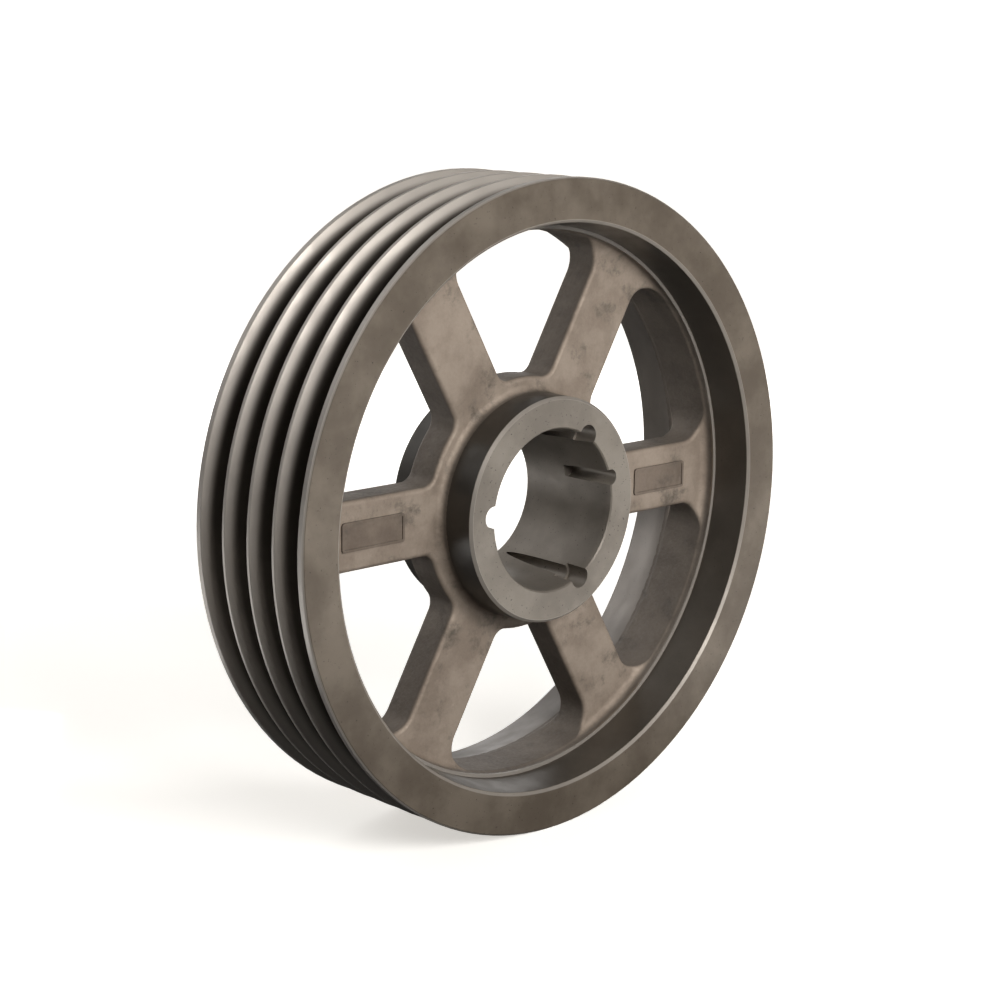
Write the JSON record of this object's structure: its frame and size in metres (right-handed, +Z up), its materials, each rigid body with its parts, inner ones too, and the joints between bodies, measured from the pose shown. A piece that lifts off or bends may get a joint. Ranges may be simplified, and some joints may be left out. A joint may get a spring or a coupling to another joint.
{
  "type": "v-belt pulley",
  "caption": "Cast-iron V-belt pulley: grooved rim carried by straight arms from a hub, whose tapered bore takes a clamping bush for the shaft.",
  "frame": {"origin": "on the pulley's axis, at the middle of the rim's width", "axes": "+Y along the axis towards the rear, so the face that the bush goes in from looks along -Y; +X to the right and +Z up, seen from the front"},
  "size_m": [0.5079, 0.1238, 0.508],
  "materials": {
    "machined_iron": "machined, then phosphated dark grey, satin",
    "rim_iron": "machined outside and on the faces, phosphated, satin",
    "cast_skin": "sand-cast skin, phosphated, matt",
    "panel_skin": "sand-cast skin, matt, blank"
  },
  "bodies": {
    "root": {"rim_band": "rim_iron", "front_flange": "machined_iron", "groove_rib_1": "machined_iron", "groove_rib_2": "machined_iron", "groove_rib_3": "machined_iron", "rear_flange": "machined_iron", "rim_web": "cast_skin", "arm_1": "cast_skin", "arm_2": "cast_skin", "arm_3": "cast_skin", "arm_4": "cast_skin", "arm_5": "cast_skin", "arm_6": "cast_skin", "hub_web": "cast_skin", "hub_barrel": "machined_iron", "right_arm_panel": "panel_skin", "left_arm_panel": "panel_skin"}
  },
  "joints": []
}
